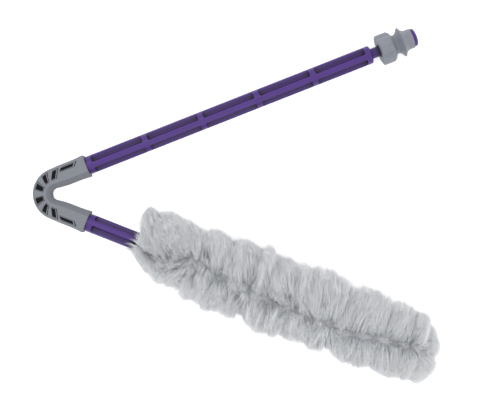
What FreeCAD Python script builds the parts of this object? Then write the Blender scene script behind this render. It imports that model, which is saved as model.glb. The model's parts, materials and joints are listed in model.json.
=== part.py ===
import FreeCAD, Part
import math
import os

# Folding wheel brush: two ribbed plastic bars joined by a rubber-sleeved elbow of pinned links,
# a lobed pole coupling that turns on the handle bar's spindle, and a slip-on long-pile cover.
# Millimetres and degrees. The object lies on a flat surface on its pile and its coupling.

# ---- the V made by the two arms ----
ARM_ANGLE = 21.5  # each arm from the bisector of the V
BEND_RADIUS = 16.0  # centre line of the elbow
SLEEVE_END = 36.0  # end of the rubber sleeve along each arm, from the bend
TURN = 180.0 - 2 * ARM_ANGLE  # angle that the elbow goes round

# ---- ribbed bars ----
BAR_RADIUS = 9.1
RIB_HALF_WIDTH = 2.85
RIB_TURN = 13.0  # front rib leans towards the inside of the V
POCKET_START = 42.8
POCKET_PITCH = 59.6
POCKET_WEB = 6.0
POCKET_CORNER = 1.6
POCKET_END_ROUND = 1.3
MOUTH_ROUND = 0.3
COLLAR_ROUND = 1.5
COLLAR_LENGTH = 6.3
HANDLE_BAR_END = 340.3
BRUSH_BAR_END = 386.0
SPIGOT_RADIUS = 8.0
SPIGOT_START = 0.5

# ---- elbow links ----
LINKS = 3
KNUCKLE_RADIUS = 3.8
KNUCKLE_GAP = 0.25
TONGUE_HALF = 2.4
WASHER_THICKNESS = 0.8
SIDE_GAP = 0.05
LINK_HALF = 6.3
PIN_RADIUS = 1.75
PIN_SEAT_GAP = 0.01
RUNNING_GAP = 0.05
WASHER_RADIUS = 3.6
PIN_CHAMFER = 0.3

# ---- elbow sleeve ----
SLEEVE_HALF_WIDTH = 10.6
SLEEVE_HALF_THICKNESS = 10.0
SLEEVE_INNER_CHAMFER = 4.4
SLEEVE_CHAMFER_DEPTH = 3.5
SLEEVE_OUTER_ROUND = 3.0
SLEEVE_BORE = 8.1
SLEEVE_BUTT_GAP = 0.1

# ---- neck and spindle of the handle bar ----
NECK_RADIUS = 5.3
NECK_SHOULDER = 353.0
SPINDLE_RADIUS = 4.0
SEAL_POSITION = 351.2
SEAL_SECTION = 0.8
SEAL_GROOVE_RADIUS = 4.6
THRUST_THICKNESS = 1.0
THRUST_RADIUS = 5.4
SPINDLE_END = 376.1
RETAINER_RADIUS = 6.4
RETAINER_THICKNESS = 1.0
SCREW_RADIUS = 1.5
SCREW_LENGTH = 14.0
SCREW_HEAD_RADIUS = 3.2
SCREW_HEAD_HEIGHT = 2.2
SCREW_RECESS = 1.1
CROSS_HALF_WIDTH = 0.4
CROSS_HALF_LENGTH = 2.0

# ---- pole coupling, along the handle arm ----
COUPLING_FACE = 349.5
LOBE_END = 360.5
CORE_RADIUS = 10.3
CORE_END = 364.5
FIRST_WAIST = 367.8
FIRST_WAIST_RADIUS = 9.5
FLANGE_CREST = 373.0
FLANGE_RADIUS = 14.9
FLANGE_LAND = 0.7
NOSE_START = 378.4
NOSE_RADIUS = 9.9
NOSE_END = 384.0
MOUTH_RADIUS = 6.3
MOUTH_DEPTH = 3.8
BUSH_RADIUS = 5.6
CUP_RADIUS = 7.2
LOBES = 4
LOBE_ARC_RADIUS = 9.5
LOBE_CENTRE = 6.2
LOBE_TURN = 12.0  # front lobe leans towards the outside of the V
LOBE_EDGE = 1.4
LOBE_SHOULDER_POSITION = 363.1  # middle of the arc from the lobes down to the core
LOBE_SHOULDER_DROP = 2.2
WAIST_ARC_POSITION = 366.2  # middle of the arc from the core down to the waist
WAIST_ARC_RADIUS = 9.65
FLANGE_RISE_RADIUS = 11.3  # half way from the waist to the flange
FLANGE_FALL_RADIUS = 11.5  # half way from the flange to the nose
GROOVE_ROUND = 0.8

# ---- end cap ----
CAP_RADIUS = 9.2
CAP_END = 388.2
CAP_ROUND = 2.4
CAP_SKIRT = 3.4
CAP_SKIRT_WALL = 1.0

# ---- slip-on cover, along the brush arm ----
CUFF_START = 90.0
CUFF_END = 95.0
COVER_BORE = 9.4
CUFF_RADIUS = 10.9
BACKING_RADIUS = 10.4
BACKING_END = 396.0
TIP_SEAM_END = 398.0
PILE_RADIUS = 37.2
PILE_START = 95.0
PILE_FULL = 124.0
PILE_SHOULDER = 380.0
PILE_END = 411.0
PILE_ROOT_RADIUS = 14.0
PILE_SWELL = 101.0  # middle of the arc from the mouth to the full width
PILE_SWELL_RADIUS = 30.2
PILE_TAPER = 404.5  # middle of the arc from the shoulder to the tip
PILE_TAPER_RADIUS = 25.2
PILE_TIP_RADIUS = 9.0
BUMPER_END = 391.0
BUMPER_STEM = 12.0
BUMPER_STEM_RADIUS = 3.0
BUMPER_ROUND = 2.5

# ---- directions and derived sizes ----
ORIGIN = FreeCAD.Vector(0, 0, 0)
ALONG = FreeCAD.Vector(1, 0, 0)
NORMAL = FreeCAD.Vector(0, 0, 1)
LINK_TURN = TURN / (LINKS + 1)
PIN_OFFSET = BEND_RADIUS * math.tan(math.radians(LINK_TURN / 2))
PIN_ORBIT = BEND_RADIUS / math.cos(math.radians(LINK_TURN / 2))
LINK_PITCH = 2 * PIN_OFFSET
SWEEP_RADIUS = KNUCKLE_RADIUS + KNUCKLE_GAP
SLOT_HALF = TONGUE_HALF + WASHER_THICKNESS + SIDE_GAP


def polar(radius, angle):
    """Point in the plane of the V, from the centre of the bend."""
    return FreeCAD.Vector(radius * math.cos(math.radians(angle)), radius * math.sin(math.radians(angle)), 0)


def arm_placement(side):
    """Frame of an arm: x runs out along it from the bend. side is 1 for the handle, -1 for the brush."""
    start = polar(BEND_RADIUS, side * (90 + ARM_ANGLE))
    return FreeCAD.Placement(start, FreeCAD.Rotation(NORMAL, side * ARM_ANGLE))


def pin_angle(number):
    """Direction of a pin from the centre of the bend; pin 1 is at the handle arm."""
    return 90 + ARM_ANGLE + (number - 0.5) * LINK_TURN


def link_placement(number):
    """Frame of a link: x runs from its own pin to the next one."""
    heading = pin_angle(number) + LINK_TURN / 2 + 90
    return FreeCAD.Placement(polar(PIN_ORBIT, pin_angle(number)), FreeCAD.Rotation(NORMAL, heading))


def lying_placement():
    """Tilts the V about the brush arm's axis until pile and coupling flange both touch the floor."""
    flange_reach = BEND_RADIUS * (1 + math.cos(math.radians(2 * ARM_ANGLE)))
    flange_reach += FLANGE_CREST * math.sin(math.radians(2 * ARM_ANGLE))
    tilt = math.degrees(math.asin((PILE_RADIUS - FLANGE_RADIUS) / flange_reach))
    arm = arm_placement(-1)
    brush_axis = arm.Rotation.multVec(ALONG)
    turn = FreeCAD.Placement(ORIGIN, FreeCAD.Rotation(brush_axis, -tilt), arm.Base)
    lift = FreeCAD.Placement(FreeCAD.Vector(0, 0, PILE_RADIUS), FreeCAD.Rotation())
    return lift.multiply(turn)


def placed(shape, placement):
    """Copy of a shape moved by a placement."""
    copy = shape.copy()
    copy.Placement = placement.multiply(copy.Placement)
    return copy


def rod(radius, start, end):
    """Solid round bar along x."""
    return Part.makeCylinder(radius, end - start, FreeCAD.Vector(start, 0, 0), ALONG)


def tube(outer, inner, start, end):
    return rod(outer, start, end).cut(rod(inner, start, end))


def disc(radius, low, high, x=0.0):
    """Solid round disc along the normal of the V."""
    return Part.makeCylinder(radius, high - low, FreeCAD.Vector(x, 0, low), NORMAL)


def block(x_low, x_high, half_width, half_height):
    corner = FreeCAD.Vector(x_low, -half_width, -half_height)
    return Part.makeBox(x_high - x_low, 2 * half_width, 2 * half_height, corner)


def turned(points):
    """Solid of revolution about x from (x, radius) points; a 3-tuple is an arc's middle and end."""
    start = FreeCAD.Vector(points[0][0], points[0][1], 0)
    edges = []
    here = start
    for point in points[1:]:
        there = FreeCAD.Vector(point[-2], point[-1], 0)
        if len(point) == 4:
            middle = FreeCAD.Vector(point[0], point[1], 0)
            edges.append(Part.Arc(here, middle, there).toShape())
        else:
            edges.append(Part.LineSegment(here, there).toShape())
        here = there
    edges.append(Part.LineSegment(here, start).toShape())
    return Part.Face(Part.Wire(edges)).revolve(ORIGIN, ALONG, 360)


# ---- ribbed bars ----


def pocket_tool(start, end):
    """Cutter for one flute pocket: a long box whose inner corner and ends are rounded."""
    reach = BAR_RADIUS + 2
    corner = FreeCAD.Vector(start, RIB_HALF_WIDTH, RIB_HALF_WIDTH)
    box = Part.makeBox(end - start, reach, reach, corner)
    inner_long = []
    for edge in box.Edges:
        middle = edge.CenterOfMass
        if max(abs(middle.y - RIB_HALF_WIDTH), abs(middle.z - RIB_HALF_WIDTH)) < 1e-6:
            inner_long.append(edge)
    box = box.makeFillet(POCKET_CORNER, inner_long)
    far_side = RIB_HALF_WIDTH + reach / 2
    ends = []
    for edge in box.Edges:
        bounds = edge.BoundBox
        at_end = bounds.XLength < 1e-6 and min(abs(bounds.XMin - start), abs(bounds.XMin - end)) < 1e-6
        if at_end and bounds.YMin < far_side and bounds.ZMin < far_side:
            ends.append(edge)
    return box.makeFillet(POCKET_END_ROUND, ends)


def pocket_spans(bar_end):
    """Start and end of each row of pockets along a bar; the last row stops short of the collar."""
    spans = []
    start = POCKET_START
    limit = bar_end - COLLAR_LENGTH
    while start < limit - POCKET_WEB:
        spans.append((start, min(start + POCKET_PITCH - POCKET_WEB, limit)))
        start += POCKET_PITCH
    return spans


def ribbed_bar(bar_end, side):
    """Round bar with four rows of pockets that leave four broad ribs and the webs between them."""
    bar = rod(BAR_RADIUS, SLEEVE_END, bar_end)
    end_rims = [edge for edge in bar.Edges if abs(edge.CenterOfMass.x - bar_end) < 1e-6]
    bar = bar.makeFillet(COLLAR_ROUND, end_rims)
    tools = []
    for start, end in pocket_spans(bar_end):
        tool = pocket_tool(start, end)
        for quarter in range(4):
            turn = FreeCAD.Rotation(ALONG, side * RIB_TURN + 90 * quarter)
            tools.append(placed(tool, FreeCAD.Placement(ORIGIN, turn)))
    bar = bar.cut(tools)
    mouths = [edge for edge in bar.Edges if on_crest(edge, bar_end)]
    return bar.makeFillet(MOUTH_ROUND, mouths)


def on_crest(edge, bar_end):
    """True for the edges where a pocket breaks the bar's round surface."""
    middle = edge.valueAt((edge.FirstParameter + edge.LastParameter) / 2)
    inside_ends = SLEEVE_END + 1 < middle.x < bar_end - COLLAR_ROUND - 1
    return inside_ends and abs(math.hypot(middle.y, middle.z) - BAR_RADIUS) < 1e-3


# ---- elbow ----


def fork_cut(x):
    """Space that a tongue and its washers sweep inside a fork."""
    return disc(SWEEP_RADIUS, -SLOT_HALF, SLOT_HALF, x)


def tongue_cuts(x):
    """Space that a fork's ears sweep on both sides of a tongue."""
    reach = LINK_HALF + 1
    return [disc(SWEEP_RADIUS, TONGUE_HALF, reach, x), disc(SWEEP_RADIUS, -reach, -TONGUE_HALF, x)]


def tongue(x):
    return disc(KNUCKLE_RADIUS, -TONGUE_HALF, TONGUE_HALF, x)


def pin_hole(x, gap):
    return disc(PIN_RADIUS + gap, -LINK_HALF - 1, LINK_HALF + 1, x)


def elbow_link():
    """Link with a tongue on its own pin and a fork for the next one."""
    body = block(0, LINK_PITCH, KNUCKLE_RADIUS, LINK_HALF)
    body = body.fuse(disc(KNUCKLE_RADIUS, -LINK_HALF, LINK_HALF, LINK_PITCH))
    body = body.cut(tongue_cuts(0) + [fork_cut(LINK_PITCH)])
    body = body.fuse(tongue(0)).removeSplitter()
    return body.cut([pin_hole(0, RUNNING_GAP), pin_hole(LINK_PITCH, PIN_SEAT_GAP)])


def elbow_pin():
    pin = disc(PIN_RADIUS, -LINK_HALF, LINK_HALF)
    rims = [edge for edge in pin.Edges if abs(abs(edge.CenterOfMass.z) - LINK_HALF) < 1e-6]
    return pin.makeChamfer(PIN_CHAMFER, rims)


def friction_washers():
    """The two washers that grip a tongue, one on each side of it."""
    washers = []
    for low in (TONGUE_HALF, -TONGUE_HALF - WASHER_THICKNESS):
        washer = disc(WASHER_RADIUS, low, low + WASHER_THICKNESS)
        washers.append(washer.cut(pin_hole(0, 2 * RUNNING_GAP)))
    return Part.makeCompound(washers)


def sleeve_profile():
    """Section of the sleeve: flat faces, chamfered on the inside of the bend, rounded outside."""
    inner = -SLEEVE_HALF_WIDTH
    outer = SLEEVE_HALF_WIDTH
    top = SLEEVE_HALF_THICKNESS
    chamfer_side = top - SLEEVE_CHAMFER_DEPTH
    chamfer_face = inner + SLEEVE_INNER_CHAMFER
    flat_end = outer - SLEEVE_OUTER_ROUND
    side_end = top - SLEEVE_OUTER_ROUND
    bulge = SLEEVE_OUTER_ROUND * math.sqrt(0.5)
    edges = []
    corners = [(inner, -chamfer_side), (chamfer_face, -top), (flat_end, -top)]
    edges += lines(corners)
    low_arc = [(flat_end, -top), (flat_end + bulge, -side_end - bulge), (outer, -side_end)]
    edges.append(Part.Arc(*[section_point(*point) for point in low_arc]).toShape())
    edges += lines([(outer, -side_end), (outer, side_end)])
    high_arc = [(outer, side_end), (flat_end + bulge, side_end + bulge), (flat_end, top)]
    edges.append(Part.Arc(*[section_point(*point) for point in high_arc]).toShape())
    edges += lines([(flat_end, top), (chamfer_face, top), (inner, chamfer_side), (inner, -chamfer_side)])
    return Part.Face(Part.Wire(edges))


def section_point(y, z):
    return FreeCAD.Vector(0, y, z)


def lines(points):
    pairs = zip(points[:-1], points[1:])
    return [Part.LineSegment(section_point(*a), section_point(*b)).toShape() for a, b in pairs]


def swept_round_elbow(face, leg):
    """A section carried down one leg, round the bend and out along the other leg."""
    first = arm_placement(1)
    start_face = placed(face, first)
    bend = start_face.revolve(ORIGIN, NORMAL, TURN)
    leg_run = first.Rotation.multVec(ALONG) * leg
    first_leg = start_face.extrude(leg_run)
    second_face = placed(start_face, FreeCAD.Placement(ORIGIN, FreeCAD.Rotation(NORMAL, TURN)))
    second_run = arm_placement(-1).Rotation.multVec(ALONG) * leg
    second_leg = second_face.extrude(second_run)
    return first_leg.fuse([bend, second_leg]).removeSplitter()


def elbow_sleeve():
    """Rubber sleeve over both spigots and the links; its bore is round all the way."""
    leg = SLEEVE_END - SLEEVE_BUTT_GAP
    bore_edge = Part.makeCircle(SLEEVE_BORE, ORIGIN, ALONG)
    bore_face = Part.Face(Part.Wire([bore_edge]))
    outside = swept_round_elbow(sleeve_profile(), leg)
    return outside.cut(swept_round_elbow(bore_face, leg + 1))


# ---- handle arm ----


def handle_bar():
    """Bar, spigot and fork at the elbow, neck and spindle at the coupling: one moulding."""
    bar = ribbed_bar(HANDLE_BAR_END, 1)
    fork = block(-PIN_OFFSET, SPIGOT_START + 1, KNUCKLE_RADIUS, LINK_HALF)
    fork = fork.fuse(disc(KNUCKLE_RADIUS, -LINK_HALF, LINK_HALF, -PIN_OFFSET))
    fork = fork.cut([fork_cut(-PIN_OFFSET), pin_hole(-PIN_OFFSET, PIN_SEAT_GAP)])
    spigot = rod(SPIGOT_RADIUS, SPIGOT_START, SLEEVE_END)
    neck = rod(NECK_RADIUS, HANDLE_BAR_END, NECK_SHOULDER)
    groove_start = SEAL_POSITION - SEAL_SECTION - RUNNING_GAP
    groove_end = SEAL_POSITION + SEAL_SECTION + RUNNING_GAP
    groove = tube(NECK_RADIUS + 1, SEAL_GROOVE_RADIUS, groove_start, groove_end)
    spindle = rod(SPINDLE_RADIUS, NECK_SHOULDER, SPINDLE_END)
    pilot = rod(SCREW_RADIUS, SPINDLE_END + RETAINER_THICKNESS - SCREW_LENGTH, SPINDLE_END)
    whole = bar.fuse([fork, spigot, neck, spindle])
    return whole.cut([groove, pilot]).removeSplitter()


def neck_seal():
    centre = FreeCAD.Vector(SEAL_POSITION, 0, 0)
    return Part.makeTorus(SEAL_GROOVE_RADIUS + SEAL_SECTION, SEAL_SECTION, centre, ALONG)


def thrust_washer():
    return tube(THRUST_RADIUS, SPINDLE_RADIUS + RUNNING_GAP, NECK_SHOULDER, NECK_SHOULDER + THRUST_THICKNESS)


def retaining_washer():
    return tube(RETAINER_RADIUS, SCREW_RADIUS + RUNNING_GAP, SPINDLE_END, SPINDLE_END + RETAINER_THICKNESS)


def retaining_screw():
    """Pan-head screw with a plain shank and a cross recess."""
    under_head = SPINDLE_END + RETAINER_THICKNESS
    shank = rod(SCREW_RADIUS, under_head - SCREW_LENGTH, under_head)
    head = rod(SCREW_HEAD_RADIUS, under_head, under_head + SCREW_HEAD_HEIGHT)
    rims = [edge for edge in head.Edges if edge.CenterOfMass.x > under_head + SCREW_HEAD_HEIGHT - 0.1]
    head = head.makeFillet(SCREW_HEAD_HEIGHT / 3, rims)
    slot_floor = under_head + SCREW_HEAD_HEIGHT - SCREW_RECESS
    slot_top = under_head + SCREW_HEAD_HEIGHT + 1
    cross = [
        block(slot_floor, slot_top, CROSS_HALF_WIDTH, CROSS_HALF_LENGTH),
        block(slot_floor, slot_top, CROSS_HALF_LENGTH, CROSS_HALF_WIDTH),
    ]
    return shank.fuse(head).cut(cross)


# ---- coupling ----


def lobed_section():
    """Four overlapping circles, with the grooves between them rounded."""
    circles = []
    for number in range(LOBES):
        angle = math.radians(360 / LOBES * number)
        centre = FreeCAD.Vector(0, LOBE_CENTRE * math.sin(angle), LOBE_CENTRE * math.cos(angle))
        circle = Part.Circle(centre, ALONG, LOBE_ARC_RADIUS)
        circles.append(Part.Face(Part.Wire([circle.toShape()])))
    return circles[0].fuse(circles[1:]).removeSplitter().Faces[0]


def coupling_lobes():
    """Lobed hand grip of the coupling, tapered down to the first waist."""
    prism = lobed_section().extrude(FreeCAD.Vector(CORE_END - COUPLING_FACE, 0, 0))
    prism = placed(prism, FreeCAD.Placement(FreeCAD.Vector(COUPLING_FACE, 0, 0), FreeCAD.Rotation()))
    grooves = [edge for edge in prism.Edges if edge.BoundBox.XLength > 1 and groove_edge(edge)]
    prism = prism.makeFillet(GROOVE_ROUND, grooves)
    full = LOBE_CENTRE + LOBE_ARC_RADIUS
    edge_sag = LOBE_EDGE * (1 - math.sqrt(0.5))
    envelope = turned(
        [
            (COUPLING_FACE, 0),
            (COUPLING_FACE, full - LOBE_EDGE),
            (COUPLING_FACE + edge_sag, full - edge_sag, COUPLING_FACE + LOBE_EDGE, full),
            (LOBE_END, full),
            (LOBE_SHOULDER_POSITION, full - LOBE_SHOULDER_DROP, CORE_END, CORE_RADIUS),
            (CORE_END, 0),
        ]
    )
    lobes = prism.common(envelope)
    return placed(lobes, FreeCAD.Placement(ORIGIN, FreeCAD.Rotation(ALONG, -LOBE_TURN)))


def groove_edge(edge):
    """True for the long inner edges where two lobes meet."""
    middle = edge.CenterOfMass
    return math.hypot(middle.y, middle.z) < LOBE_CENTRE + LOBE_ARC_RADIUS - 1


def coupling_body():
    """Lobed grip, waist, sharp flange, second waist and a plain round nose, bored for its bush."""
    rise = (FIRST_WAIST + FLANGE_CREST) / 2
    fall = (FLANGE_CREST + NOSE_START) / 2
    outside = turned(
        [
            (COUPLING_FACE + 1, 0),
            (COUPLING_FACE + 1, CORE_RADIUS),
            (CORE_END, CORE_RADIUS),
            (WAIST_ARC_POSITION, WAIST_ARC_RADIUS, FIRST_WAIST, FIRST_WAIST_RADIUS),
            (rise, FLANGE_RISE_RADIUS, FLANGE_CREST - FLANGE_LAND / 2, FLANGE_RADIUS),
            (FLANGE_CREST + FLANGE_LAND / 2, FLANGE_RADIUS),
            (fall, FLANGE_FALL_RADIUS, NOSE_START, NOSE_RADIUS),
            (NOSE_END, NOSE_RADIUS),
            (NOSE_END, 0),
        ]
    )
    body = coupling_lobes().fuse(outside)
    mouth_end = COUPLING_FACE + MOUTH_DEPTH
    bush_start = NECK_SHOULDER + THRUST_THICKNESS + RUNNING_GAP
    bores = [
        rod(MOUTH_RADIUS, COUPLING_FACE - 1, max(mouth_end, bush_start)),
        rod(BUSH_RADIUS, mouth_end, SPINDLE_END),
        rod(CUP_RADIUS, SPINDLE_END - RUNNING_GAP, NOSE_END + 1),
    ]
    return body.cut(bores).removeSplitter()


def coupling_bush():
    start = NECK_SHOULDER + THRUST_THICKNESS + RUNNING_GAP
    return tube(BUSH_RADIUS, SPINDLE_RADIUS + RUNNING_GAP, start, SPINDLE_END - RUNNING_GAP)


def end_cap():
    """Rounded cap whose skirt is pushed into the coupling's nose."""
    cap = rod(CAP_RADIUS, NOSE_END, CAP_END)
    rims = [edge for edge in cap.Edges if abs(edge.CenterOfMass.x - CAP_END) < 1e-6]
    cap = cap.makeFillet(CAP_ROUND, rims)
    skirt = tube(CUP_RADIUS, CUP_RADIUS - CAP_SKIRT_WALL, NOSE_END - CAP_SKIRT, NOSE_END)
    return cap.fuse(skirt).removeSplitter()


# ---- brush arm ----


def brush_bar():
    """Bar, spigot and tongue at the elbow: one moulding, bored at its far end for the bumper."""
    bar = ribbed_bar(BRUSH_BAR_END, -1)
    root = block(-PIN_OFFSET, SPIGOT_START + 1, KNUCKLE_RADIUS, LINK_HALF)
    root = root.cut(tongue_cuts(-PIN_OFFSET)).fuse(tongue(-PIN_OFFSET)).removeSplitter()
    root = root.cut(pin_hole(-PIN_OFFSET, RUNNING_GAP))
    spigot = rod(SPIGOT_RADIUS, SPIGOT_START, SLEEVE_END)
    socket = rod(BUMPER_STEM_RADIUS, BRUSH_BAR_END - BUMPER_STEM, BRUSH_BAR_END + 1)
    return bar.fuse([root, spigot]).cut(socket).removeSplitter()


def tip_bumper():
    """Soft rounded end that keeps the bar from knocking through the cover."""
    pad = rod(BAR_RADIUS - 0.1, BRUSH_BAR_END, BUMPER_END)
    rims = [edge for edge in pad.Edges if abs(edge.CenterOfMass.x - BUMPER_END) < 1e-6]
    pad = pad.makeFillet(BUMPER_ROUND, rims)
    stem = rod(BUMPER_STEM_RADIUS, BRUSH_BAR_END - BUMPER_STEM, BRUSH_BAR_END)
    return pad.fuse(stem).removeSplitter()


# ---- slip-on cover ----


def cover_cuff():
    return tube(CUFF_RADIUS, COVER_BORE, CUFF_START, CUFF_END)


def cover_backing():
    return tube(BACKING_RADIUS, COVER_BORE, CUFF_END, BACKING_END)


def cover_tip():
    return rod(BACKING_RADIUS, BACKING_END, TIP_SEAM_END)


def pile():
    """Outer shape of the long pile, closed over the tip of the backing."""
    outside = turned(
        [
            (PILE_START, 0),
            (PILE_START, PILE_ROOT_RADIUS),
            (PILE_SWELL, PILE_SWELL_RADIUS, PILE_FULL, PILE_RADIUS),
            (PILE_SHOULDER, PILE_RADIUS),
            (PILE_TAPER, PILE_TAPER_RADIUS, PILE_END, PILE_TIP_RADIUS),
            (PILE_END, 0),
        ]
    )
    return outside.cut(rod(BACKING_RADIUS, PILE_START - 1, TIP_SEAM_END))


# ---- assembly ----


def assembly():
    """Every sub-part in the plane of the V, by name."""
    on_handle = {
        "handle_bar": handle_bar(),
        "neck_seal": neck_seal(),
        "thrust_washer": thrust_washer(),
        "retaining_washer": retaining_washer(),
        "retaining_screw": retaining_screw(),
        "coupling_body": coupling_body(),
        "coupling_bush": coupling_bush(),
        "end_cap": end_cap(),
    }
    on_brush = {
        "brush_bar": brush_bar(),
        "tip_bumper": tip_bumper(),
        "cover_cuff": cover_cuff(),
        "cover_backing": cover_backing(),
        "cover_tip": cover_tip(),
        "pile": pile(),
    }
    parts = {name: placed(shape, arm_placement(1)) for name, shape in on_handle.items()}
    parts.update({name: placed(shape, arm_placement(-1)) for name, shape in on_brush.items()})
    parts["elbow_sleeve"] = elbow_sleeve()
    for number in range(1, LINKS + 1):
        parts[f"elbow_link_{number}"] = placed(elbow_link(), link_placement(number))
    for number in range(1, LINKS + 2):
        parts[f"elbow_pin_{number}"] = placed(elbow_pin(), link_placement(number))
        parts[f"friction_washers_{number}"] = placed(friction_washers(), link_placement(number))
    return parts


def standing_placement(parts):
    """Lays the assembly on the floor with the middle of its footprint at the origin."""
    lying = lying_placement()
    box = FreeCAD.BoundBox()
    for shape in parts.values():
        box.add(placed(shape, lying).BoundBox)
    shift = FreeCAD.Vector(-round(box.Center.x), -round(box.Center.y), 0)
    return FreeCAD.Placement(shift, FreeCAD.Rotation()).multiply(lying)


def main():
    os.makedirs("parts", exist_ok=True)
    parts = assembly()
    standing = standing_placement(parts)
    for name, shape in sorted(parts.items()):
        shape = placed(shape, standing)
        shape.exportStep(f"parts/{name}.step")
        print(f"{name:20s} solids {len(shape.Solids)} valid {shape.isValid()} volume {shape.Volume:10.1f}")


main()
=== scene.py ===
import json
import math

import bpy
import numpy as np
from mathutils import Matrix, Vector


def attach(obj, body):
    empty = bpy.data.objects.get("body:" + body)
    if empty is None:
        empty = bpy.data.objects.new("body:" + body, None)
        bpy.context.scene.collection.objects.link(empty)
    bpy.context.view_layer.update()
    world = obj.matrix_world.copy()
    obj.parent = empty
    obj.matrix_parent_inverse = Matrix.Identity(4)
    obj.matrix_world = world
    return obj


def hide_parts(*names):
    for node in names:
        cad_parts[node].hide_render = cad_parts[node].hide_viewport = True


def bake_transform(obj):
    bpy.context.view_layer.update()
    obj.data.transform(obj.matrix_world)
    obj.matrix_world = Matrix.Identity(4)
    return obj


# Folding wheel brush. Lengths here are in millimetres and angles in radians unless a name says otherwise;
# meshes are turned into metres in the row frame as they are made.

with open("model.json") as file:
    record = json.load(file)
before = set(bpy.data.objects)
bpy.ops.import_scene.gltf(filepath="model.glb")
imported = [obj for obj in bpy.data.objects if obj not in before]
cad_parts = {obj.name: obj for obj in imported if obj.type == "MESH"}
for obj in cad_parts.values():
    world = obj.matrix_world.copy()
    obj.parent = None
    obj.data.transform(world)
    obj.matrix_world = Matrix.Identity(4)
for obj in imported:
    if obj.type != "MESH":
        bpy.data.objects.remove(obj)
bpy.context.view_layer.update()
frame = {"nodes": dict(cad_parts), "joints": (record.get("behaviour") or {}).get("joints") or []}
MM = 0.001

# ---- the elbow sleeve, along its own centre line ----
BEND_RADIUS = 16.0
LEG = 36.0  # straight part at each end
SLEEVE_HALF_WIDTH = 10.5
SLEEVE_HALF_THICKNESS = 10.0
SLEEVE_CHAMFER = (4.4, 3.5)  # across the face and down the inner side
SLEEVE_BORE = 8.1
SLEEVE_LIP = 0.7  # round of the two open ends
FLARE = 0.7  # how much wider the open ends are
APEX_NARROWING = 1.5
APEX_SHIFT = 0.8  # how far the section moves outwards at the bend
WALL = 0.9
RING_STEP = 0.7
CROWN = 0.35  # how much the two faces bulge
LIP_RINGS = 6
APEX_START = 22.0  # from an open end, where the section begins to change
APEX_EASE = 28.0  # and over what length
FLARE_REACH = 7.0
PRINT_THICKNESS = 0.2
PRINT_STEP = 0.8
PRINT_ROWS = 6
FACE_MIDDLE = 0.4  # of the printed face, off the section's middle

# ---- the slip-on cover, along the brush arm from the bend ----
CUFF_START = 90.0
CUFF_END = 95.0
CUFF_RADIUS = 10.9
COVER_BORE = 9.4
BACKING_RADIUS = 10.4
BACKING_END = 396.0
TIP_SEAM_END = 398.0
PILE_END = 411.0

STRANDS = 115000
UNDERFUR = 40000
STRAYS = 5000
STRANDS_PER_PIECE = 9000
# fibres are darker at the root than at the tip: painted shade deep in the pile
FIBRE_ROOT = (0.6, 0.625, 0.66)
FIBRE_TIP = (0.96, 0.97, 0.98)
FIBRE_TINTS = ((0.83, 0.835, 0.845), (1.0, 1.0, 1.0))

rng = np.random.default_rng(20)  # turns each strand's three sides


# ---- the plane of the V, worked out from the joints ----


def unit(vector):
    return vector / np.linalg.norm(vector)


joints = {joint["name"]: joint for joint in frame["joints"]}
pins = [np.array(joints[f"elbow_bend_{number}"]["pos_m"]) for number in range(1, 5)]
HANDLE_WAY = unit(np.array(joints["coupling_twist"]["axis"]))
BRUSH_WAY = unit(np.array(joints["cover_slide"]["axis"]))
NORMAL = -unit(np.array(joints["elbow_bend_1"]["axis"]))
AHEAD = unit(HANDLE_WAY + BRUSH_WAY)  # bisector of the V, away from the bend
ACROSS = np.cross(NORMAL, AHEAD)  # towards the handle arm
BEND_CENTRE = (pins[1] + pins[2]) / 2 + BEND_RADIUS * MM * AHEAD
ARM_ANGLE = math.acos(float(HANDLE_WAY @ AHEAD))
ARC_START = math.pi / 2 + ARM_ANGLE
TURN = math.pi - 2 * ARM_ANGLE
ARC = BEND_RADIUS * TURN
SLEEVE_LENGTH = 2 * LEG + ARC
HINGES = len(pins)

INWARDS = np.cross((0.0, 0.0, 1.0), BRUSH_WAY)  # across the brush arm, towards the inside of the V
BRUSH_START = BEND_CENTRE + BEND_RADIUS * MM * (math.cos(ARC_START) * AHEAD - math.sin(ARC_START) * ACROSS)


def in_row(points):
    """Points (ahead, across, up) in the plane of the V, in mm, as points in the row frame."""
    return BEND_CENTRE + MM * points @ np.array([AHEAD, ACROSS, NORMAL])


def on_brush_arm(along, radius, angle):
    """Row-frame points from places along and round the brush arm; angle 0 faces the inside of the V."""
    out = np.multiply.outer(along, BRUSH_WAY) + np.multiply.outer(radius * np.cos(angle), INWARDS)
    out[..., 2] += radius * np.sin(angle)
    return BRUSH_START + MM * out


# ---- materials ----

CREVICE_REACH = 9.0
RUBBED_EDGE = 0.45


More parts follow.
